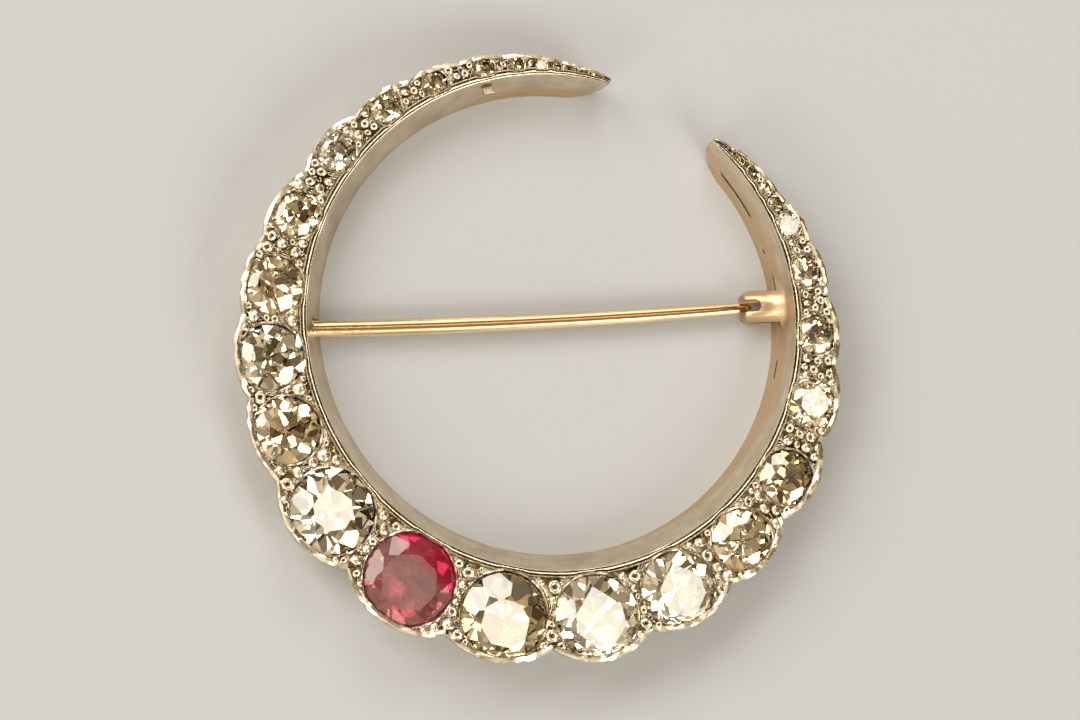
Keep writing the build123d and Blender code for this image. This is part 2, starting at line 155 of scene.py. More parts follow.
def lit_room():
    """A room of pale and dark patches, so that the metal has something to mirror."""
    room = bpy.data.worlds.new("room")
    room.use_nodes = True
    nodes, links = room.node_tree.nodes, room.node_tree.links
    background = nodes["Background"]
    direction = nodes.new("ShaderNodeTexCoord")
    patches = nodes.new("ShaderNodeTexNoise")
    patches.inputs["Scale"].default_value = ROOM_PATCHES[0]
    patches.inputs["Detail"].default_value = ROOM_PATCHES[1]
    tones = nodes.new("ShaderNodeValToRGB")
    dark, pale = tones.color_ramp.elements
    dark.position, pale.position = ROOM_TONES
    dark.color, pale.color = ROOM_DARK, ROOM_PALE
    lean = nodes.new("ShaderNodeVectorMath")
    lean.operation = "DOT_PRODUCT"
    lean.inputs[1].default_value = ROOM_LEAN
    leaning = nodes.new("ShaderNodeMath")
    upright = nodes.new("ShaderNodeSeparateXYZ")
    ceiling = nodes.new("ShaderNodeMapRange")
    ceiling.inputs["To Min"].default_value = 1.0
    for name, value in zip(("From Min", "From Max", "To Max"), CEILING):
        ceiling.inputs[name].default_value = value
    for node in (patches, lean, upright):
        links.new(direction.outputs["Generated"], node.inputs[0])
    links.new(patches.outputs["Fac"], leaning.inputs[0])
    links.new(lean.outputs["Value"], leaning.inputs[1])
    links.new(leaning.outputs["Value"], tones.inputs["Fac"])
    links.new(tones.outputs["Color"], background.inputs["Color"])
    links.new(upright.outputs["Z"], ceiling.inputs["Value"])
    links.new(ceiling.outputs["Result"], background.inputs["Strength"])
    return room


for row in PANELS:
    hang_panel(*row)
bpy.context.scene.world = lit_room()
bpy.context.scene.view_settings.view_transform = "Standard"
print(len(PANELS), "panels of light")

# %% [markdown]
# ## Small tools
#
# A jeweller's bench has a few tools that every job uses, and so has this file: one that turns a
# finished shape into a piece, one that spins a drawn profile, and one that wires up a material.
# Each could be written out where it is needed, but then the same lines would come back a dozen
# times. Shapes are worked in millimetres and become metres when they are finished.

# %% Finish a piece
def finished(shape, name, material, body="setting", crease=35.0):
    """Makes a piece of a shape in millimetres, smooth apart from creases, riding on its body."""
    bmesh.ops.scale(shape, vec=(MM, MM, MM), verts=shape.verts)
    mesh = bpy.data.meshes.new(name)
    shape.to_mesh(mesh)
    shape.free()
    mesh.materials.append(material)
    if crease:
        mesh.shade_smooth()
        mesh.set_sharp_from_angle(angle=math.radians(crease))
    piece = bpy.data.objects.new(name, mesh)
    bpy.context.scene.collection.objects.link(piece)
    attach(piece, body)
    print(name, "has", len(mesh.polygons), "faces")
    return piece


# %% Spin a profile
MERGE_DISTANCE = 0.002                  # mm


def heading(turn):
    """The level direction at an angle from +X, in radians."""
    return Vector((math.cos(turn), math.sin(turn)))


def worked_metal():
    """A new shape whose points can say how deep in shadow and tarnish they lie, from 0 to 1."""
    shape = bmesh.new()
    shape.verts.layers.float.new("depth")
    return shape


def spin_profile(shape, profile, centre, out, radius, base, turn, steps, size=1.0, closed=False):
    """Spins rows of (across, up, depth) about an upright axis and returns all the points made."""
    layer = shape.verts.layers.float["depth"]
    chain = []
    for across, up, depth in profile:
        place = centre + out * (radius + across * size)
        point = shape.verts.new((place.x, place.y, base + up * size))
        point[layer] = depth
        chain.append(point)
    links = [shape.edges.new(pair) for pair in zip(chain, chain[1:])]
    before = set(shape.verts) - set(chain)
    bmesh.ops.spin(
        shape, geom=chain + links, cent=(centre.x, centre.y, 0), axis=(0, 0, 1), angle=turn, steps=steps,
        use_merge=closed,
    )
    return [point for point in shape.verts if point not in before]


def gathered(parts):
    """One shape of many small ones, which is quicker than growing one large shape."""
    whole = worked_metal()
    for part in parts:
        bmesh.ops.remove_doubles(part, verts=part.verts, dist=MERGE_DISTANCE)
        bmesh.ops.recalc_face_normals(part, faces=part.faces)
        mesh = bpy.data.meshes.new("part")
        part.to_mesh(mesh)
        part.free()
        whole.from_mesh(mesh)
        bpy.data.meshes.remove(mesh)
    return whole


# %% Wire up a material
NOISE_ROUGHNESS = 0.55


class Wiring:
    """A material's nodes, added one by one and joined by name."""

    def __init__(self, name):
        self.material = bpy.data.materials.new(name)
        self.material.use_nodes = True
        self.tree = self.material.node_tree
        self.shader = self.tree.nodes["Principled BSDF"]
        self.place = self.add("ShaderNodeTexCoord").outputs["Object"]

    def add(self, kind, inputs=None, **settings):
        """A new node, with its settings and with what goes into its sockets."""
        node = self.tree.nodes.new(kind)
        for key, value in settings.items():
            setattr(node, key, value)
        for key, value in (inputs or {}).items():
            self.join(value, node.inputs[key])
        return node

    def join(self, value, socket):
        """Leads another node's output or a plain value into a socket."""
        if isinstance(value, bpy.types.NodeSocket):
            self.tree.links.new(value, socket)
        else:
            socket.default_value = value

    def noise(self, scale, detail=3.0, place=None):
        """Cloudy pattern from 0 to 1; scale counts its features in a metre."""
        place = place or self.place
        inputs = {"Vector": place, "Scale": scale, "Detail": detail, "Roughness": NOISE_ROUGHNESS}
        return self.add("ShaderNodeTexNoise", inputs).outputs["Fac"]

    def step(self, value, low, high, to_low=0.0, to_high=1.0):
        """Turns a range of values into another one, clamped."""
        inputs = {"Value": value, "From Min": low, "From Max": high, "To Min": to_low, "To Max": to_high}
        return self.add("ShaderNodeMapRange", inputs).outputs["Result"]

    def math(self, operation, first, second=0.0):
        """One sum with one or two numbers."""
        return self.add("ShaderNodeMath", {0: first, 1: second}, operation=operation).outputs["Value"]

    def plus(self, first, second):
        return self.math("ADD", first, second)

    def minus(self, first, second):
        return self.math("SUBTRACT", first, second)

    def times(self, first, second):
        return self.math("MULTIPLY", first, second)

    def parts(self, vector):
        """The three numbers of a vector."""
        return self.add("ShaderNodeSeparateXYZ", {0: vector}).outputs

    def facing(self):
        """How far a surface faces up: 1 where it is level."""
        return self.parts(self.add("ShaderNodeNewGeometry").outputs["Normal"])["Z"]

    def mix(self, share, first, second):
        """Blend of two colours."""
        node = self.add("ShaderNodeMix", data_type="RGBA")
        self.join(share, node.inputs["Factor"])
        self.join(first, node.inputs["A"])
        self.join(second, node.inputs["B"])
        return node.outputs["Result"]

    def bump(self, height, distance):
        """Relief: the height goes from 0 to 1 and the distance is in metres."""
        return self.add("ShaderNodeBump", {"Height": height, "Distance": distance}).outputs["Normal"]

    def set(self, **values):
        """Gives the shader its values, each by the name of its socket."""
        for key, value in values.items():
            self.join(value, self.shader.inputs[key.replace("_", " ").title().replace("Ior", "IOR")])


print("bench tools ready")

# %% [markdown]
# ## Metals
#
# Old silver is pale and a little warm, and where the polishing cloth doesn't reach it turns
# brown. Here the front is silver and the back is gold, so the setting's material changes with
# height, along a soldered seam that has opened in a few places. The satin wall was rubbed round
# and round, so its fine lines follow the circle. A flat colour would look like plastic: small
# changes in roughness are what make metal look handled.

# %% Silver over gold
SILVER = (0.82, 0.72, 0.56, 1)
SILVER_DULL = (0.58, 0.48, 0.345, 1)
GOLD = (0.76, 0.58, 0.385, 1)
GOLD_DULL = (0.58, 0.425, 0.265, 1)
# dark browns of tarnish on the front, and of painted shade and tarnish where the depth attribute asks for
# them
TARNISH_AND_SHADE = (0.035, 0.02, 0.007, 1)
TARNISH_AND_SHADE_WARM = (0.17, 0.108, 0.043, 1)
GAP_DARK = (0.02, 0.012, 0.006, 1)
WALL_DEPTH = 2.6                        # mm from the back to the front
INNER_CENTRE = Vector((-0.2602, 2.6928))    # middle of the opening, mm
STREAKS_ROUND = 1.2                     # units of the satin's pattern in a radian of the opening
STREAKS_UP = 4000.0                     # and in a metre of the wall's height, so they lie level
SATIN_ROUGHNESS = (0.26, 0.46)
SEAM_WANDER = 0.55                      # mm up and down
SEAM_BLEND = (0.05, 0.55)               # mm, from all gold to all silver
# where the gold rises: degrees round the opening from its bottom, and the height there in mm
GOLD_ON_RIGHT_ARM = (50.0, 100.0, 0.1, 1.6)
GOLD_ON_LEFT_TIP = (-128.0, -145.0, 0.0, 0.85)
# the open seams: degrees where each starts and ends, and its height and half width in mm
OPEN_SEAMS = [
    (144.5, 159.0, 0.95, 0.085), (117.0, 131.5, 0.91, 0.05), (105.0, 110.0, 0.83, 0.06),
    (136.0, 137.4, 0.75, 0.06),
]
GAP_WANDER_SHARE = 0.2                  # of the seam's wander, where it is open
GAP_SOFTNESS = 0.015                    # mm
FRONT_STARTS = (0.05, 0.01)             # mm under the front, from none to all of its tarnish
FRONT_FACING = (0.8, 0.95)              # how level a surface is, from none to all of it
RELIEF_DEPTH = 0.12                     # mm


def silver_over_gold():
    """Satin silver above a soldered seam, gold below it, tarnished on the flat front."""
    wiring = Wiring("silver_over_gold")
    across, up, height = wiring.parts(wiring.place)
    right = wiring.minus(across, INNER_CENTRE.x * MM)
    down = wiring.minus(INNER_CENTRE.y * MM, up)
    turn = wiring.math("ARCTAN2", right, down)
    rubbed = {0: wiring.times(turn, STREAKS_ROUND), 1: wiring.times(height, STREAKS_UP)}
    round_and_up = wiring.add("ShaderNodeCombineXYZ", rubbed).outputs["Vector"]
    streaks = wiring.noise(6.0, detail=4.0, place=round_and_up)
    cloud = wiring.noise(700)
    fine = wiring.noise(14000)
    wander = wiring.times(wiring.noise(260), SEAM_WANDER * MM)
    seam = wiring.plus(height, wander)
    for start, end, low, high in (GOLD_ON_RIGHT_ARM, GOLD_ON_LEFT_TIP):
        rise = wiring.step(turn, math.radians(start), math.radians(end), low * MM, high * MM)
        seam = wiring.minus(seam, rise)
    polish = wiring.plus(cloud, wiring.times(streaks, 1.2))
    silver = wiring.mix(wiring.step(polish, 0.9, 1.3), SILVER_DULL, SILVER)
    gold = wiring.mix(wiring.step(streaks, 0.35, 0.65), GOLD_DULL, GOLD)
    metal = wiring.mix(wiring.step(seam, SEAM_BLEND[0] * MM, SEAM_BLEND[1] * MM), gold, silver)
    crack = 0.0
    uneven = wiring.plus(height, wiring.times(wander, GAP_WANDER_SHARE))
    for start, end, level, width in OPEN_SEAMS:
        middle, half = math.radians(start + end) / 2, math.radians(end - start) / 2
        off_line = wiring.math("ABSOLUTE", wiring.minus(uneven, level * MM))
        off_middle = wiring.math("ABSOLUTE", wiring.minus(turn, middle))
        on_line = wiring.step(off_line, (width + GAP_SOFTNESS) * MM, (width - GAP_SOFTNESS) * MM)
        here = wiring.times(on_line, wiring.step(off_middle, half, half * 0.8))
        crack = wiring.math("MAXIMUM", crack, here)
    on_top = wiring.step(height, *[(WALL_DEPTH - under) * MM for under in FRONT_STARTS])
    front = wiring.times(on_top, wiring.step(wiring.facing(), *FRONT_FACING))
    carving = wiring.noise(4200, detail=4.0)
    dirt = wiring.times(front, wiring.step(carving, 0.72, 0.57))
    warm_front = wiring.mix(wiring.step(cloud, 0.4, 0.6), TARNISH_AND_SHADE, TARNISH_AND_SHADE_WARM)
    relief = wiring.times(carving, front)
    brushed = wiring.plus(wiring.times(streaks, 0.12), wiring.times(fine, 0.03))
    raised = wiring.plus(relief, brushed)
    satin = wiring.plus(fine, wiring.times(streaks, 0.8))
    wiring.set(
        base_color=wiring.mix(crack, wiring.mix(dirt, metal, warm_front), GAP_DARK),
        metallic=wiring.step(crack, 0.0, 1.0, 1.0, 0.2),
        roughness=wiring.step(satin, 0.6, 1.2, *SATIN_ROUGHNESS),
        normal=wiring.bump(wiring.minus(raised, wiring.times(crack, 0.5)), RELIEF_DEPTH * MM),
    )
    return wiring.material


setting_metal = silver_over_gold()
print("made", setting_metal.name)

# %% Bright silver
POLISHED = (0.97, 0.92, 0.81, 1)
POLISHED_DULL = (0.80, 0.71, 0.56, 1)
POLISHED_ROUGHNESS = (0.16, 0.34)


def bright_silver():
    """Polished silver of lips, threads and grains, browner with painted shade and tarnish where the depth
    attribute says so.
    """
    wiring = Wiring("bright_silver")
    depth = wiring.add("ShaderNodeAttribute", attribute_name="depth").outputs["Fac"]
    cloud = wiring.noise(1800)
    metal = wiring.mix(wiring.step(cloud, 0.35, 0.65), POLISHED_DULL, POLISHED)
    # painted shade and tarnish, deepest in grooves, at the feet and in the grains' dished tops
    shade_and_tarnish = wiring.mix(wiring.step(cloud, 0.4, 0.6), TARNISH_AND_SHADE, TARNISH_AND_SHADE_WARM)
    wiring.set(
        base_color=wiring.mix(depth, metal, shade_and_tarnish),
        metallic=1.0,
        roughness=wiring.step(wiring.noise(9000), 0.3, 0.7, *POLISHED_ROUGHNESS),
    )
    return wiring.material


bright_metal = bright_silver()
print("made", bright_metal.name)

# %% Pin gold
WIRE_GOLD = (0.94, 0.75, 0.52, 1)
WIRE_GOLD_DULL = (0.84, 0.61, 0.39, 1)
WIRE_TOP_PAINTED_REFLECTION = (0.42, 0.25, 0.11, 1)
WIRE_PAINTED_TOP = (0.88, 0.97)                 # how level the wire is where it turns brown with a painted dark reflection
WIRE_ROUGHNESS = 0.22


def pin_gold():
    """Drawn gold wire in mottled tones, with a painted dark reflection of the dim ceiling along its top."""
    wiring = Wiring("pin_gold")
    cloud = wiring.noise(500)
    gold = wiring.mix(wiring.step(cloud, 0.3, 0.7), WIRE_GOLD_DULL, WIRE_GOLD)
    wiring.set(
        # the brown on top is a painted reflection of the dim ceiling, not a colour of the gold
        base_color=wiring.mix(wiring.step(wiring.facing(), *WIRE_PAINTED_TOP), gold, WIRE_TOP_PAINTED_REFLECTION),
        metallic=1.0,
        roughness=WIRE_ROUGHNESS,
    )
    return wiring.material


stem_metal = pin_gold()
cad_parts["hinge_rivet"].data.materials[0] = stem_metal
print("made", stem_metal.name)

# %% [markdown]
# ## Where the stones sit
#
# Everything on the front is placed from the stones. Their places could be written down again
# here, but then they would be wrong as soon as the model changed. So each stone's middle and
# radius are read from its solid, and the notch between two scallops is found on the setting's
# own front edge.

# %% Read the stones
CENTRE = Vector((0.0048, 0.5628))       # middle of the crescent's outer edge, mm
INNER_RADIUS = 13.40                    # of the front's inner edge, about INNER_CENTRE
WELL_CLEARANCE = 0.05                   # mm round a stone, where the edge of its seat is
METAL_NODES = ("crescent_frame", "pin_stem", "hinge_rivet")


def polar(angle, reach):
    """A point by its angle from the bottom and its distance from the middle, in degrees and mm."""
    turn = math.radians(angle)
    return CENTRE + Vector((math.sin(turn), -math.cos(turn))) * reach


def bearing(point):
    """Angle and reach of a point."""
    away = Vector(point[:2]) - CENTRE
    return math.degrees(math.atan2(away.x, -away.y)), away.length


def read_stone(name):
    """A stone's name, middle, radius, place on the crescent and heights, from its solid."""
    low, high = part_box(name)
    middle = (low + high) / 2 / MM
    spread = max((Vector(v.co[:2]) / MM - middle.to_2d()).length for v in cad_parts[name].data.vertices)
    angle, reach = bearing(middle)
    return {"name": name, "middle": middle.to_2d(), "radius": spread, "angle": angle, "reach": reach,
            "low": low.z / MM, "high": high.z / MM}


stones = [read_stone(name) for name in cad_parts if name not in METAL_NODES]
stones.sort(key=lambda stone: stone["angle"])
print(len(stones), "stones, the largest", round(2 * max(s["radius"] for s in stones), 2), "mm across")

# %% Find the scallops
FRONT_WITHIN = 0.01                     # mm, how near to the front's level a point of it lies
OUTER_SHARE = 0.3                       # of a stone's radius; what lies farther out is outer edge


def front_edge():
    """Points of the setting's outer edge on the front, as angle and reach."""
    found = []
    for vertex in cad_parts["crescent_frame"].data.vertices:
        point = vertex.co / MM
        if abs(point.z - WALL_DEPTH) > FRONT_WITHIN:
            continue
        angle, reach = bearing(point)
        stone = min(stones, key=lambda s: abs(s["angle"] - angle))
        outside = all((point.to_2d() - s["middle"]).length > s["radius"] + WELL_CLEARANCE for s in stones)
        if outside and reach > stone["reach"] + OUTER_SHARE * stone["radius"]:
            found.append((angle, reach))
    return sorted(found)


edge = front_edge()
edge_angles = [angle for angle, reach in edge]
tip_angle = max(edge_angles)
notches = [min(edge)]
for stone, following in zip(stones, stones[1:]):
    between = [row for row in edge if stone["angle"] < row[0] < following["angle"]]
    notches.append(min(between, key=lambda row: row[1]))
notches.append(max(edge))
print("front edge of", len(edge), "points, tips at", round(tip_angle, 1), "degrees")

# %% Room on the front
def outer_reach(angle):
    """Reach of the front's outer edge at an angle, between the two nearest points known."""
    place = min(max(bisect_left(edge_angles, angle), 1), len(edge) - 1)
    (before, near), (after, far) = edge[place - 1], edge[place]
    share = (angle - before) / max(after - before, 1e-6)
    return near + (far - near) * min(max(share, 0.0), 1.0)


def inner_reach(angle):
    """Reach of the front's inner edge at an angle."""
    out = polar(angle, 1.0) - CENTRE
    shift = CENTRE - INNER_CENTRE
    along = shift.dot(out)
    return -along + math.sqrt(along * along - shift.length_squared + INNER_RADIUS ** 2)


def room_at(point):
    """Distances from a point to the nearest stone, to the outer edge and to the inner edge."""
    angle, reach = bearing(point)
    to_stone = min((point - stone["middle"]).length - stone["radius"] for stone in stones)
    return to_stone, outer_reach(angle) - reach, (point - INNER_CENTRE).length - INNER_RADIUS


print("front is", round(outer_reach(0) - inner_reach(0), 2), "mm wide at the bottom")

# %% [markdown]
# ## Setting
#
# The setting is the brooch's body: one curved wall of metal that holds every stone. It could be
# drawn again, but its solid has the right form already. A CAD solid arrives as loose triangles, so
# a copy of it is merged and given smooth walls with crisp edges, and stands for the solid. Its
# plain inner bead is pressed flat, because the drawn threads below take its place.

# %% Setting
SOLID_MERGE_DISTANCE = 0.0005           # mm


def merged_copy(node):
    """The solid's own shape in millimetres, with its loose triangles joined."""
    shape = bmesh.new()
    shape.from_mesh(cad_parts[node].data)
    bmesh.ops.scale(shape, vec=(1 / MM,) * 3, verts=shape.verts)
    bmesh.ops.remove_doubles(shape, verts=shape.verts, dist=SOLID_MERGE_DISTANCE)
    return shape


body = merged_copy("crescent_frame")
for vertex in body.verts:
    vertex.co.z = min(vertex.co.z, WALL_DEPTH)
bmesh.ops.remove_doubles(body, verts=body.verts, dist=SOLID_MERGE_DISTANCE)
setting = finished(body, "setting", setting_metal, crease=25.0)
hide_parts("crescent_frame")

# %% [markdown]
# ## Pin
#
# The pin is drawn gold wire with an eye round the rivet. Wire has no corners, so its merged copy is
# shaded smooth along its length. A new sweep could stand for it, but the solid's own form turns
# about the rivet already, and a copy keeps it. The rivet is hardly seen and keeps its solid.

# %% Pin
pin = finished(merged_copy("pin_stem"), "smooth_pin", stem_metal, body="pin")
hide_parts("pin_stem")

# %% [markdown]
# ## Solder
#
# An old repair left a drop of solder on the inner wall near the left tip. It is a small block with
# its edges melted round. A ball would be simpler, but the real drop has flat sides.

# %% Solder drop
SOLDER_PLACE = (-8.84, 12.38, 1.95)     # on the inner wall, mm
SOLDER_SIZE = (0.62, 0.34, 0.40)        # mm
SOLDER_TURN = math.radians(41.5)
SOLDER_MELT = 0.06                      # mm of its edges

drop = bmesh.new()
bmesh.ops.create_cube(drop, size=1.0)
bmesh.ops.scale(drop, vec=SOLDER_SIZE, verts=drop.verts)
bmesh.ops.bevel(
    drop, geom=drop.edges[:], offset=SOLDER_MELT, segments=3, profile=0.5, affect="EDGES", material=-1
)
bmesh.ops.rotate(drop, verts=drop.verts, matrix=Matrix.Rotation(SOLDER_TURN, 3, "Z"))
bmesh.ops.translate(drop, verts=drop.verts, vec=SOLDER_PLACE)
finished(drop, "solder_drop", setting_metal, crease=60.0)

# %% [markdown]
# ## Threads along the opening
#
# Three lines follow the opening: the front's sharp edge, a thin thread and a broader one, with
# dark grooves between. On the real piece they are cut from the same silver. Wires laid side by
# side would do, but one profile spun round the opening's own middle makes all three, and where
# the crescent runs out the profile narrows with it.

# %% Threads
# across the front, up from it, and depth in shadow
THREAD_PROFILE = [
    (-0.012, -0.04, 0.0), (-0.01, 0.045, 0.0), (0.01, 0.075, 0.0), (0.05, 0.065, 0.0), (0.07, 0.02, 0.5),
    (0.085, 0.0, 1.0), (0.11, 0.0, 1.0), (0.13, 0.05, 0.1), (0.155, 0.08, 0.0), (0.20, 0.08, 0.0),
    (0.225, 0.04, 0.3), (0.24, -0.01, 1.0), (0.285, -0.01, 1.0), (0.305, 0.06, 0.2), (0.33, 0.11, 0.0),
    (0.37, 0.115, 0.0), (0.405, 0.06, 0.3), (0.43, -0.02, 1.0),
]
THREAD_STEP = 0.16                      # mm
THREADS_WIDTH = THREAD_PROFILE[-1][0]
THREADS_NARROWEST = 0.72                # of that width, beside a stone that stands close to the edge
THREAD_TO_STONE = 0.03                  # mm
THREADS_NEED = 0.9                      # mm of front; where there is less they narrow with it
THREADS_LEAST = 0.3                     # of their width
THREADS_TRIED = 0.01                    # mm less at each try
hand = random.Random(3)


def thread_room(out):
    """How much of their width the threads have in one direction, between the edge and the stones."""
    width = THREADS_WIDTH
    while width > THREADS_NARROWEST * THREADS_WIDTH:
        if room_at(INNER_CENTRE + out * (INNER_RADIUS + width))[0] > THREAD_TO_STONE:
            break
        width -= THREADS_TRIED
    return width / THREADS_WIDTH


def thread_shape():
    """The edge and its two threads, from tip to tip."""
    shape = worked_metal()
    first = polar(-tip_angle, inner_reach(-tip_angle)) - INNER_CENTRE
    last = polar(tip_angle, inner_reach(tip_angle)) - INNER_CENTRE
    turn = math.tau - last.angle(first)
    steps = round(turn * INNER_RADIUS / THREAD_STEP)
    start = first.normalized()
    spin_profile(shape, THREAD_PROFILE, INNER_CENTRE, start, INNER_RADIUS, WALL_DEPTH, turn, steps)
    known = {}
    for vertex in shape.verts:
        angle, reach = bearing(vertex.co)
        out = (vertex.co.to_2d() - INNER_CENTRE).normalized()
        across = (vertex.co.to_2d() - INNER_CENTRE).length - INNER_RADIUS
        place = round(math.atan2(out.y, out.x), 4)
        if place not in known:
            room = outer_reach(angle) - inner_reach(angle)
            known[place] = min(thread_room(out), max(THREADS_LEAST, room / THREADS_NEED))
        vertex.co.x, vertex.co.y = INNER_CENTRE + out * (INNER_RADIUS + across * known[place])
    return shape


threads = thread_shape()
bmesh.ops.recalc_face_normals(threads, faces=threads.faces)
finished(threads, "threads", bright_metal, crease=50.0)

# %% [markdown]
# ## Lips
#
# Outside each stone the goldsmith leaves a lip and cuts it bright with a graver, stroke by
# stroke, so it glitters along its whole length. A swept curve would do, but a profile spun about
# each scallop's own middle keeps the lip on the edge, and its notches sharp.

# %% Lips
LIP_HEIGHT = 0.16                       # mm
LIP_WIDTH = 0.30
LIP_STEP = 0.30                         # mm of edge to each cut of the graver
LIP_LEAST = 0.35                        # of its full size, and it grows with the stone
LIP_GROWTH = 0.5                        # of its full size for each mm of the stone's radius
LIP_FOOT = 0.3                          # of its height, which the graver leaves alone
LIP_SLIP = [(-0.045, 0.045), (-0.045, 0.045), (-0.06, 0.04)]    # mm, how far a cut may go astray
# shares of the width and the height, and depth in shadow
LIP_PROFILE = [(0.05, -0.3, 0.2), (0.12, 0.5, 0.0), (-0.25, 1.0, 0.0), (-0.75, 0.85, 0.0), (-1.1, 0.1, 0.8)]


def circle_through(a, b, c):
    """Middle of the circle through three points."""
    ax, ay = b - a
    bx, by = c - a
    turn = 2 * (ax * by - ay * bx)
    size_b, size_c = (b - a).length_squared, (c - a).length_squared
    return a + Vector(((by * size_b - ay * size_c) / turn, (ax * size_c - bx * size_b) / turn))


def lip(shape, stone, start, end):
    """One scallop's lip: a small profile spun from notch to notch."""
    between = [row for row in edge if start[0] < row[0] < end[0]]
    top = min(between, key=lambda row: abs(row[0] - stone["angle"]))
    first, middle, last = polar(*start), polar(*top), polar(*end)
    centre = circle_through(first, middle, last)
    radius = (first - centre).length
    size = min(1.0, LIP_LEAST + stone["radius"] * LIP_GROWTH)
    profile = [(across * LIP_WIDTH, up * LIP_HEIGHT, depth) for across, up, depth in LIP_PROFILE]
    turn = (last - centre).angle_signed(first - centre)
    steps = max(4, round(abs(turn) * radius / LIP_STEP))
    spin_profile(shape, profile, centre, (first - centre) / radius, radius, WALL_DEPTH, turn, steps, size)


lips = worked_metal()
for stone, start, end in zip(stones, notches, notches[1:]):
    lip(lips, stone, start, end)
for vertex in lips.verts:
    if vertex.co.z > WALL_DEPTH + LIP_FOOT * LIP_HEIGHT:
        vertex.co += Vector([hand.uniform(low, high) for low, high in LIP_SLIP])
bmesh.ops.recalc_face_normals(lips, faces=lips.faces)
finished(lips, "lips", bright_metal, crease=20.0)

# %% [markdown]
# ## Bezels
#
# A thin edge of silver is pushed over each stone's girdle with a burnisher. A torus would do for
# a machine-made edge. This one is uneven, because it was done by hand, so the ring that is spun
# round each stone has its points moved a little.

# %% Bezels
BEZEL_PROFILE = [
    (0.09, -0.05, 1.0), (0.075, 0.04, 0.6), (0.03, 0.06, 0.25), (-0.04, -0.005, 0.4), (-0.02, -0.06, 1.0),
]
BEZEL_STEP = 0.15                       # mm of girdle to each facet of the ring
BEZEL_SLIP = (-0.015, 0.02)             # mm, inwards and outwards
BEZEL_RISE = 0.03                       # mm, up or down
BEZEL_LEAST = 0.3                       # of its full size, and it grows with the stone
BEZEL_GROWTH = 1.6                      # mm of the stone's radius for a whole size more
BEZEL_FOOT = 0.01                       # mm; what lies deeper under the front isn't moved


def bezel(shape, stone):
    """The pushed edge round one stone."""
    steps = max(12, round(math.tau * stone["radius"] / BEZEL_STEP))
    size = min(1.0, BEZEL_LEAST + stone["radius"] / BEZEL_GROWTH)
    made = spin_profile(
        shape, BEZEL_PROFILE, stone["middle"], heading(0.0), stone["radius"], WALL_DEPTH, math.tau, steps,
        size, closed=True,
    )
    for vertex in made:
        if vertex.co.z > WALL_DEPTH - BEZEL_FOOT:
            away = (vertex.co.to_2d() - stone["middle"]).normalized() * hand.uniform(*BEZEL_SLIP) * size
            vertex.co += Vector((away.x, away.y, hand.uniform(-BEZEL_RISE, BEZEL_RISE) * size))


def bezel_rings():
    """Every pushed edge as a small shape of its own."""
    for stone in stones:
        ring = worked_metal()
        bezel(ring, stone)
        yield ring


finished(gathered(bezel_rings()), "bezels", bright_metal, crease=30.0)

# %% [markdown]
# ## Grains
#
# Grains are the beads of silver that hold the stones. They are raised with a graver and rounded
# with a cupped punch, which leaves a thick ring of light around a small dark middle. They could be
# scattered at random, but then they would leave holes. Where there is room a grain is large, and
# smaller ones fill what is left, so the places are found largest first: a size is tried everywhere
# before the next smaller one.

# %% Grains
GRAIN_RADII = (0.42, 0.38, 0.34, 0.31, 0.28, 0.25, 0.22, 0.19)    # mm
GRAIN_LARGEST_AT_TIP = 0.23
GRAIN_TAPER = (60.0, 90.0)              # degrees, where the largest size shrinks, and over how many
GRAINLESS_TIP = 9                       # degrees at the end of each arm
GRAIN_OVER_STONE = 0.02                 # mm that a grain may reach over a stone
GRAIN_OVER_THREADS = 0.04
GRAIN_TO_EDGE = 0.10                    # mm from the outer edge, for the lip
# shares of the radius across and up, and depth in shadow
GRAIN_PROFILE = [
    (1.02, -0.12, 1.0), (0.98, 0.22, 0.3), (0.84, 0.50, 0.0), (0.58, 0.56, 0.0), (0.36, 0.40, 0.05),
    (0.22, 0.12, 0.9), (0.0, 0.06, 1.0),
]
BEAD_PROFILE = [
    (1.02, -0.12, 1.0), (0.98, 0.22, 0.3), (0.80, 0.50, 0.0), (0.50, 0.66, 0.0), (0.0, 0.70, 0.0),
]
BEAD_SHARE = 0.45                       # of the grains, that the punch left round on top
GRAIN_SIDES = 10
GRAIN_GRID = (0.6, 0.09)                # degrees and mm between the places that are tried
GRAIN_OVERLAP = 0.02                    # mm
GRAIN_SQUEEZE = 0.28                    # of its width, the most that a grain loses one way
GRAIN_TILT = 0.35                       # of its height, more on one side and less on the other
GRAIN_SIZE_SPREAD = (0.94, 1.04)        # of its size
punch = random.Random(11)


def clearances():
    """Places on the front, each with the radius of the largest bead that would fit there."""
    found = []
    angle_step, reach_step = GRAIN_GRID
    taper_start, taper_length = GRAIN_TAPER
    for number in range(int(2 * (tip_angle - GRAINLESS_TIP) / angle_step)):
        angle = GRAINLESS_TIP - tip_angle + number * angle_step
        share = min(1.0, max(0.0, abs(angle) - taper_start) / taper_length)
        largest = GRAIN_RADII[0] + (GRAIN_LARGEST_AT_TIP - GRAIN_RADII[0]) * share
        for row in range(int((outer_reach(angle) - inner_reach(angle)) / reach_step)):
            point = polar(angle, inner_reach(angle) + row * reach_step)
            to_stone, to_edge, to_inner = room_at(point)
            to_threads = to_inner - THREADS_WIDTH + GRAIN_OVER_THREADS
            room = min(to_stone + GRAIN_OVER_STONE, to_edge - GRAIN_TO_EDGE, to_threads, largest)
            if room >= GRAIN_RADII[-1]:
                found.append((room, point))
    punch.shuffle(found)
    return found


def grain_places():
    """Beads packed largest first."""
    tried = clearances()
    placed = []
    for size in GRAIN_RADII:
        for room, point in tried:
            if room < size:
                continue
            if all((point - other).length > size + taken - GRAIN_OVERLAP for other, taken in placed):
                placed.append((point, size))
    return placed


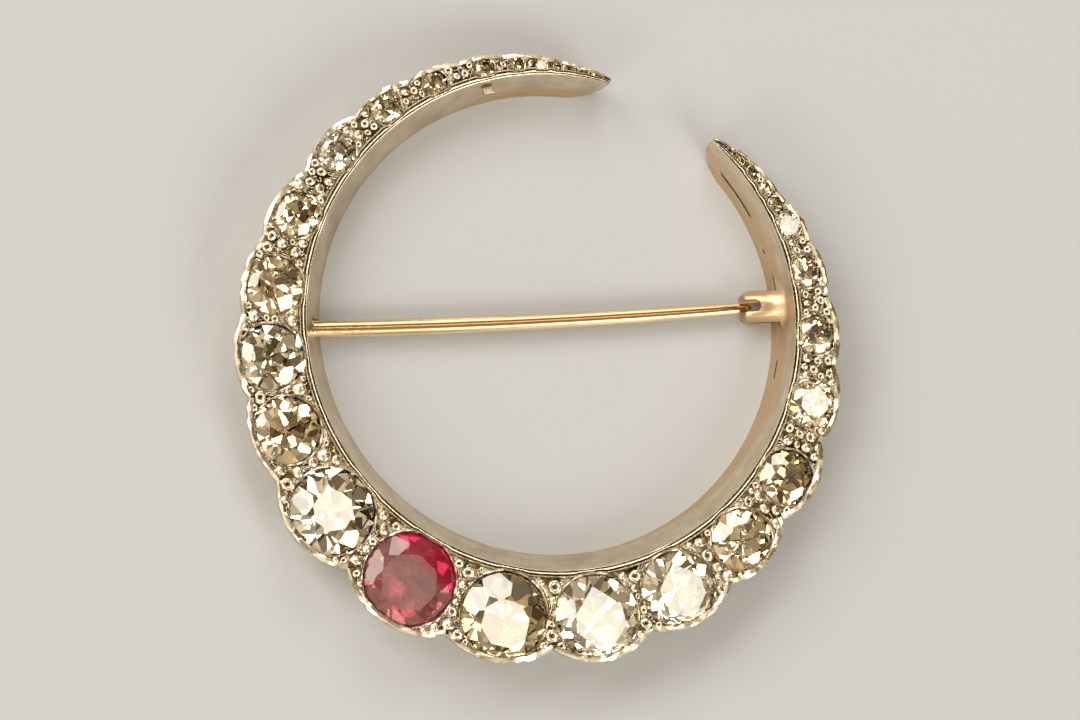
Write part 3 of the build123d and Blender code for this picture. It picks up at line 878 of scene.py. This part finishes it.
def grain(shape, point, size):
    """One bead, its profile spun round and dished on top, and pressed a little out of round."""
    profile = BEAD_PROFILE if punch.random() < BEAD_SHARE else GRAIN_PROFILE
    made = spin_profile(
        shape, profile, point, heading(0.0), 0.0, WALL_DEPTH, math.tau, GRAIN_SIDES, size, closed=True
    )
    lean, squeeze = punch.uniform(0, math.tau), punch.uniform(0.0, GRAIN_SQUEEZE)
    along = heading(lean)
    for vertex in made:
        away = vertex.co.to_2d() - point
        pressed = away - along * away.dot(along) * squeeze
        vertex.co.x, vertex.co.y = point + pressed
        vertex.co.z += (vertex.co.z - WALL_DEPTH) * away.dot(along) / size * GRAIN_TILT


def stamped(places):
    """Every grain as a small shape of its own."""
    for point, size in places:
        one = worked_metal()
        grain(one, point, size * punch.uniform(*GRAIN_SIZE_SPREAD))
        yield one


grain_rows = grain_places()
finished(gathered(stamped(grain_rows)), "grains", bright_metal, crease=80.0)
largest_grain = max(size for point, size in grain_rows)
print(len(grain_rows), "grains, the largest", round(2 * largest_grain, 2), "mm across")

# %% [markdown]
# ## Bright cuts
#
# The silver between grains and stones is carved with small curved strokes, and each leaves a
# fine bright ridge beside a brown hollow. A bump in the material would hide this from the side,
# so each stroke is a thin ridge of its own, spun through a short turn. Most run along a stone's
# edge, and in the corners they curl at random.

# %% Bright cuts
CUT_PROFILE = [(-1.0, -0.4, 1.0), (-0.25, 1.0, 0.0), (0.25, 1.0, 0.0), (1.0, -0.4, 1.0)]
CUT_SIZE = 0.036                        # half a ridge's width, mm
CUT_SIZE_SPREAD = (0.7, 1.2)
CUT_HEIGHT = 1.5                        # of the half width
CUT_STEP = 0.07                         # mm
CUT_SINK = 0.01                         # mm that a stroke's ends lie under the ground
CUT_DISTANCES = (0.13, 0.25, 0.37)      # mm, of the rows of strokes round a stone
CUT_LENGTHS = (0.2, 0.6)                # mm
CUT_GAPS = (0.05, 0.15)                 # mm
CUT_TO_STONE = 0.08                     # mm that the middle of a stroke keeps away
CUT_TO_EDGE = 0.16
CUT_TO_THREADS = 0.03
CUT_UNDER_GRAIN = 0.02                  # mm that it may lie under a grain's edge
LEAST_STONE_WITH_CUTS = 0.4             # mm, a stone's radius
CURL_TRIES = 3000
CURL_RADII = (0.08, 0.2)                # mm
CURL_SWEEPS = (1.5, 3.5)                # radians
CURL_TO_STONE = 0.1                     # mm
CURLLESS_TIP = 12                       # degrees at the end of each arm
graver = random.Random(8)


def bright_cut(centre, radius, start, sweep):
    """One stroke: a ridge that rises from the ground and sinks back into it."""
    shape = worked_metal()
    out = heading(start)
    steps = max(3, round(abs(sweep) * radius / CUT_STEP))
    size = CUT_SIZE * graver.uniform(*CUT_SIZE_SPREAD)
    for vertex in spin_profile(shape, CUT_PROFILE, centre, out, radius, WALL_DEPTH, sweep, steps, size):
        if vertex.co.z > WALL_DEPTH:
            done = min(1.0, abs(out.angle_signed(vertex.co.to_2d() - centre)) / abs(sweep))
            vertex.co.z = WALL_DEPTH - CUT_SINK + CUT_HEIGHT * size * math.sin(math.pi * done)
    return shape


def clear_for_cut(point):
    """Whether the middle of a stroke has room there."""
    to_stone, to_edge, to_inner = room_at(point)
    to_grain = min((point - place).length - size for place, size in grain_rows)
    clear_of_edges = to_edge > CUT_TO_EDGE and to_inner > THREADS_WIDTH + CUT_TO_THREADS
    return clear_of_edges and to_stone > CUT_TO_STONE and to_grain > -CUT_UNDER_GRAIN


def cuts_round(stone):
    """Strokes along a stone's edge, in up to three rows."""
    for distance in CUT_DISTANCES:
        radius = stone["radius"] + distance
        turn = graver.uniform(0, 0.3)
        while turn < math.tau:
            sweep = graver.uniform(*CUT_LENGTHS) / radius
            if clear_for_cut(stone["middle"] + heading(turn + sweep / 2) * radius):
                yield bright_cut(stone["middle"], radius, turn, sweep)
            turn += sweep + graver.uniform(*CUT_GAPS) / radius


def curls():
    """Small hooks in the corners that grains leave free."""
    for _ in range(CURL_TRIES):
        angle = graver.uniform(-tip_angle + CURLLESS_TIP, tip_angle - CURLLESS_TIP)
        point = polar(angle, graver.uniform(inner_reach(angle), outer_reach(angle)))
        radius = graver.uniform(*CURL_RADII)
        start, sweep = graver.uniform(0, math.tau), graver.uniform(*CURL_SWEEPS)
        middle = point + heading(start + sweep / 2) * radius
        if clear_for_cut(middle) and room_at(point)[0] > CURL_TO_STONE:
            yield bright_cut(point, radius, start, sweep)


framed_stones = [stone for stone in stones if stone["radius"] > LEAST_STONE_WITH_CUTS]
strokes = [stroke for stone in framed_stones for stroke in cuts_round(stone)]
strokes += list(curls())
print(len(strokes), "strokes")
finished(gathered(strokes), "bright_cuts", bright_metal, crease=60.0)

# %% [markdown]
# ## Stones
#
# The stones are old cuts, ground by eye: a table, eight stars, eight mains and sixteen halves
# above, eight mains below, and the tiny ones with a table and eight mains only. A stone could be
# drawn from a list of points. It is ground from a round blank instead, one plane at a time, as a
# cutter does, and each plane is a little off, so no two stones are quite alike.

# %% Stone materials
PALE_TINT = (0.97, 0.88, 0.70, 1)
CHAMPAGNE_TINT = (0.94, 0.76, 0.49, 1)
BROWN_TINT = (0.66, 0.49, 0.27, 1)
DARKER_CLOUDS = 0.85                    # of the tint
TABLE_WEAR = 0.008                      # mm
TABLE_FACING = (0.97, 0.99)             # how level a facet is, from no table to all table
DIAMOND_IOR = 2.42
RED_STONE_IOR = 1.77
RED_STONE_CLEARNESS = 0.72              # share of the light that goes in
RED_STONE_ROUGHNESS = (0.05, 0.30)      # of its facets, and of its scratched table
CRIMSON = (0.62, 0.01, 0.08, 1)
MAUVE_SHEEN = (0.36, 0.085, 0.11, 1)
MILKY_MAUVE_SHEEN = (0.50, 0.19, 0.20, 1)
CRIMSON_SIDE = 73.0                       # degrees round from +X, where the red stone is crimson, with no painted sheen
CRIMSON_STARTS = (0.9, 1.7)               # mm from its middle that way, from the mauve with its painted sheen to crimson
CRIMSON_WANDER = 0.8                      # mm


def diamond(name, colour):
    """Clear tinted stone, with a worn table that mirrors a little unevenly."""
    wiring = Wiring(name)
    cloud = wiring.noise(900)
    darker = (*[part * DARKER_CLOUDS for part in colour[:3]], 1)
    tint = wiring.mix(wiring.step(cloud, 0.3, 0.7), colour, darker)
    wear = wiring.times(wiring.noise(1700, detail=4.0), wiring.step(wiring.facing(), *TABLE_FACING))
    worn = wiring.bump(wear, TABLE_WEAR * MM)
    wiring.set(base_color=tint, ior=DIAMOND_IOR, transmission_weight=1.0, roughness=0.0, normal=worn)
    return wiring.material


def red_stone_gem():
    """Flawed red stone: milky mauve over most of its width, partly its own cloudiness and partly a painted
    sheen of soft light, and clear crimson on one side.
    """
    wiring = Wiring("red_gem")
    stone = next(stone for stone in stones if stone["name"] == "red_stone")
    places = wiring.parts(wiring.place)[:2]
    crimson_way = heading(math.radians(CRIMSON_SIDE))
    towards = wiring.times(wiring.noise(600), CRIMSON_WANDER * MM)
    for place, middle, share in zip(places, stone["middle"], crimson_way):
        away = wiring.minus(place, middle * MM)
        towards = wiring.plus(towards, wiring.times(away, share))
    # one side stays crimson, and the rest gets the mauve, which is partly a painted sheen of soft light on
    # the facets
    side = wiring.step(towards, CRIMSON_STARTS[0] * MM, CRIMSON_STARTS[1] * MM)
    flaws = wiring.step(wiring.noise(1500), 0.35, 0.65)
    wiring.set(
        base_color=wiring.mix(side, wiring.mix(flaws, MAUVE_SHEEN, MILKY_MAUVE_SHEEN), CRIMSON),
        ior=RED_STONE_IOR,
        transmission_weight=RED_STONE_CLEARNESS,
        roughness=wiring.step(wiring.facing(), *TABLE_FACING, *RED_STONE_ROUGHNESS),
    )
    return wiring.material


pale_diamond = diamond("pale_diamond", PALE_TINT)
champagne_diamond = diamond("champagne_diamond", CHAMPAGNE_TINT)
brown_diamond = diamond("brown_diamond", BROWN_TINT)
red_gem = red_stone_gem()
print("gems ready")

# %% Grind the stones
GIRDLE_DROP = 0.12                      # mm under the front
GIRDLE_SHARE = 0.03                     # of a stone's radius, above and below its widest line
CULET_SHARE = 0.08                      # of its radius
STAR_SLOPE_SHARE = 0.6                  # of the mains' slope
STEEPER_HALVES = 5.0                    # degrees
MAINS = 8                               # above, and as many below
EIGHTH = math.tau / MAINS
TURN_SLIP = 3.0                         # degrees by which a main goes astray
SLOPE_SLIP = (-1.0, 1.5)                # degrees, flatter or steeper
HALF_SLIP = 1.0
LEAST_RIM = 3                           # edges that a facet needs
SINGLE_CUT_RADIUS = 0.75                # mm; smaller stones have eight sides only, above and below
# name, table's share of the width, its shift outwards in mm, its lean outwards in degrees, gem
STONE_LOOKS = {
    "red_stone": (0.62, 0.25, 0.0, red_gem),
    "left_diamond_01": (0.48, 0.10, -0.4, pale_diamond),
    "left_diamond_02": (0.48, 0.0, 3.0, champagne_diamond),
    "left_diamond_03": (0.46, 0.0, 3.4, pale_diamond),
    "left_diamond_04": (0.48, 0.0, 2.8, champagne_diamond),
    "left_diamond_06": (0.50, 0.0, 2.4, pale_diamond),
    "left_diamond_11": (0.78, 0.0, 0.0, pale_diamond),
    "right_diamond_01": (0.56, 0.55, 0.0, brown_diamond),
    "right_diamond_02": (0.62, 0.35, 0.0, pale_diamond),
    "right_diamond_03": (0.62, 0.30, 0.0, pale_diamond),
    "right_diamond_04": (0.46, 0.0, 3.0, champagne_diamond),
    "right_diamond_05": (0.44, 0.0, 3.4, brown_diamond),
    "right_diamond_06": (0.60, 0.10, 0.0, champagne_diamond),
    "right_diamond_09": (0.70, 0.0, 0.0, pale_diamond),
    "right_diamond_12": (0.60, 0.0, 1.5, pale_diamond),
}
OTHER_LOOK = (0.48, 0.0, 3.2, champagne_diamond)
CHIP_LOOK = (0.45, 0.0, 4.0, brown_diamond)
wheel = random.Random(21)


def grind(rough, flat, point):
    """Takes off everything beyond a plane and closes the cut with one facet."""
    everything = rough.verts[:] + rough.edges[:] + rough.faces[:]
    cut = bmesh.ops.bisect_plane(
        rough, geom=everything, dist=1e-4, plane_co=point, plane_no=flat, clear_outer=True
    )
    rim = [part for part in cut["geom_cut"] if isinstance(part, bmesh.types.BMEdge)]
    if len(rim) >= LEAST_RIM:
        bmesh.ops.edgeloop_fill(rough, edges=rim)


def facet(rough, slope, turn, reach, height, side):
    """One sloping facet, given by its slope, its direction and a point that it passes through."""
    out = heading(turn)
    flat = Vector((*(out * math.sin(slope)), side * math.cos(slope)))
    grind(rough, flat, Vector((*(out * reach), height)))


def cut_stone(stone, look_row):
    """A round old cut, ground about its own middle and then set in its place."""
    table_share, shift, lean, material = look_row
    radius = stone["radius"]
    girdle = GIRDLE_SHARE * radius
    level = WALL_DEPTH - GIRDLE_DROP - girdle
    crown, pavilion = stone["high"] - level, level - stone["low"]
    table, culet = table_share * radius, CULET_SHARE * radius
    outwards = math.radians(stone["angle"] - 90)    # the stone's angle, but from +X
    with_halves = radius > SINGLE_CUT_RADIUS
    rough = bmesh.new()
    bmesh.ops.create_cone(
        rough, cap_ends=True, segments=32, radius1=radius, radius2=radius, depth=crown + pavilion
    )
    bmesh.ops.translate(rough, verts=rough.verts, vec=(0, 0, (crown - pavilion) / 2))
    start = wheel.uniform(0, EIGHTH)
    askew = math.radians(lean)
    for number in range(MAINS):
        turn = start + number * EIGHTH + math.radians(wheel.uniform(-TURN_SLIP, TURN_SLIP))
        corner = turn + EIGHTH / 2
        table_reach = table + shift * math.cos(turn - outwards)
        corner_reach = table + shift * math.cos(corner - outwards)
        slope = math.atan2(crown - girdle, radius - table_reach)
        slope += math.radians(wheel.uniform(*SLOPE_SLIP))
        below = math.atan2(pavilion - girdle, radius - culet)
        below += math.radians(wheel.uniform(*SLOPE_SLIP))
        facet(rough, slope, turn, radius, girdle, 1)
        facet(rough, below, turn, radius, -girdle, -1)
        if not with_halves:
            continue
        facet(rough, slope * STAR_SLOPE_SHARE, corner, corner_reach * math.cos(EIGHTH / 2), crown, 1)
        for half in (turn + EIGHTH / 4, turn - EIGHTH / 4):
            steeper = math.radians(STEEPER_HALVES + wheel.uniform(-HALF_SLIP, HALF_SLIP))
            facet(rough, slope + steeper, half, radius * math.cos(EIGHTH / 4), girdle, 1)
    facet(rough, askew, outwards, 0.0, crown - table * math.tan(askew), 1)
    bmesh.ops.recalc_face_normals(rough, faces=rough.faces)
    bmesh.ops.translate(rough, verts=rough.verts, vec=(*stone["middle"], level))
    piece = finished(rough, "cut_" + stone["name"], material, crease=0)
    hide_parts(stone["name"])


for stone in stones:
    default = CHIP_LOOK if "chip" in stone["name"] else OTHER_LOOK
    cut_stone(stone, STONE_LOOKS.get(stone["name"], default))
